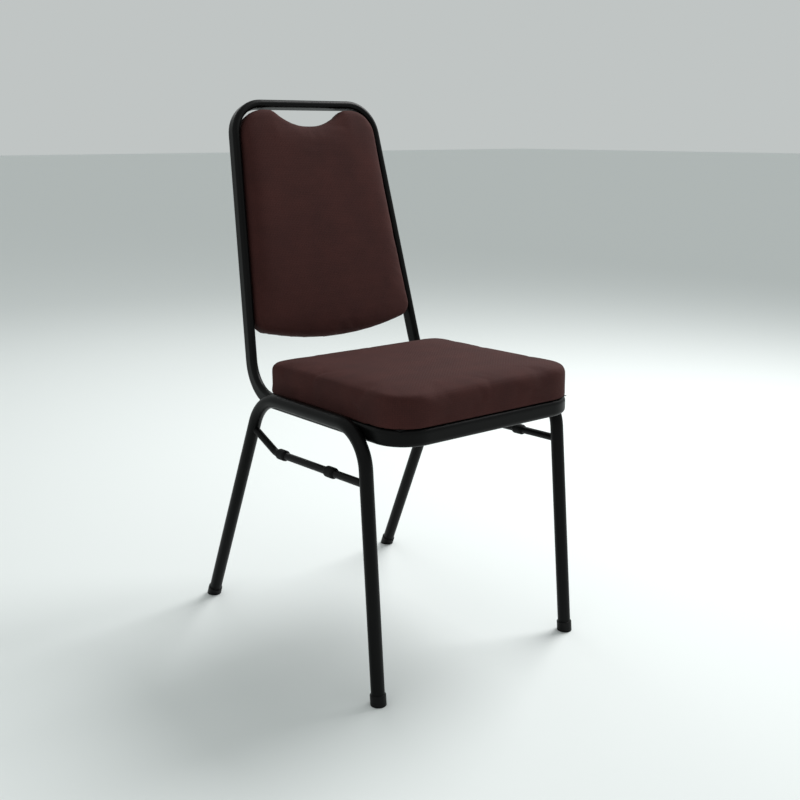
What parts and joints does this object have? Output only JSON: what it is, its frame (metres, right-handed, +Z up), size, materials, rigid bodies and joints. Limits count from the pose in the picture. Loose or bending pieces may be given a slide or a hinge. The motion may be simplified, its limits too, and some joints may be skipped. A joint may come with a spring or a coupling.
{
  "type": "stacking chair",
  "caption": "Upright stacking chair with a thick boxed seat cushion and a padded back in a bent oval tube frame, on splayed round tube legs with side braces.",
  "frame": {"origin": "on the floor, under the middle of the chair's bounding box", "axes": "+X to the sitter's left, +Y to the back of the chair, +Z up; the chair faces -Y"},
  "size_m": [0.4494, 0.567, 0.9243],
  "materials": {
    "frame_paint": "satin black powder coat on steel tube",
    "sleeve_steel": "bare steel, hidden inside the tube",
    "fastener_steel": "zinc-plated steel",
    "seat_cloth": "plain-woven maroon-brown upholstery cloth",
    "back_cloth": "plain-woven maroon-brown upholstery cloth",
    "foam": "open-cell polyurethane foam",
    "plywood": "unfinished plywood",
    "dust_cloth": "black non-woven dust cloth",
    "bumper_plastic": "black moulded polyethylene",
    "glide_plastic": "black moulded nylon"
  },
  "bodies": {
    "root": {"back_board": "plywood", "back_bow": "frame_paint", "back_cover": "back_cloth", "back_foam": "foam", "back_rear_panel": "back_cloth", "back_screws": "fastener_steel", "back_tabs": "frame_paint", "back_tee_nuts": "fastener_steel", "cross_bar_front": "frame_paint", "cross_bar_rear": "frame_paint", "glide_front_left": "glide_plastic", "glide_front_right": "glide_plastic", "glide_rear_left": "glide_plastic", "glide_rear_right": "glide_plastic", "leg_brace_left": "frame_paint", "leg_brace_right": "frame_paint", "leg_frame_left": "frame_paint", "leg_frame_right": "frame_paint", "rail_sleeve_left": "sleeve_steel", "rail_sleeve_right": "sleeve_steel", "run_welds_left": "frame_paint", "run_welds_right": "frame_paint", "seat_board": "plywood", "seat_cover": "seat_cloth", "seat_dust_cover": "dust_cloth", "seat_foam": "foam", "seat_rail": "frame_paint", "seat_screws": "fastener_steel", "seat_tee_nuts": "fastener_steel", "stack_bumper_front_left": "bumper_plastic", "stack_bumper_front_right": "bumper_plastic", "stack_bumper_rear_left": "bumper_plastic", "stack_bumper_rear_right": "bumper_plastic"}
  },
  "joints": []
}
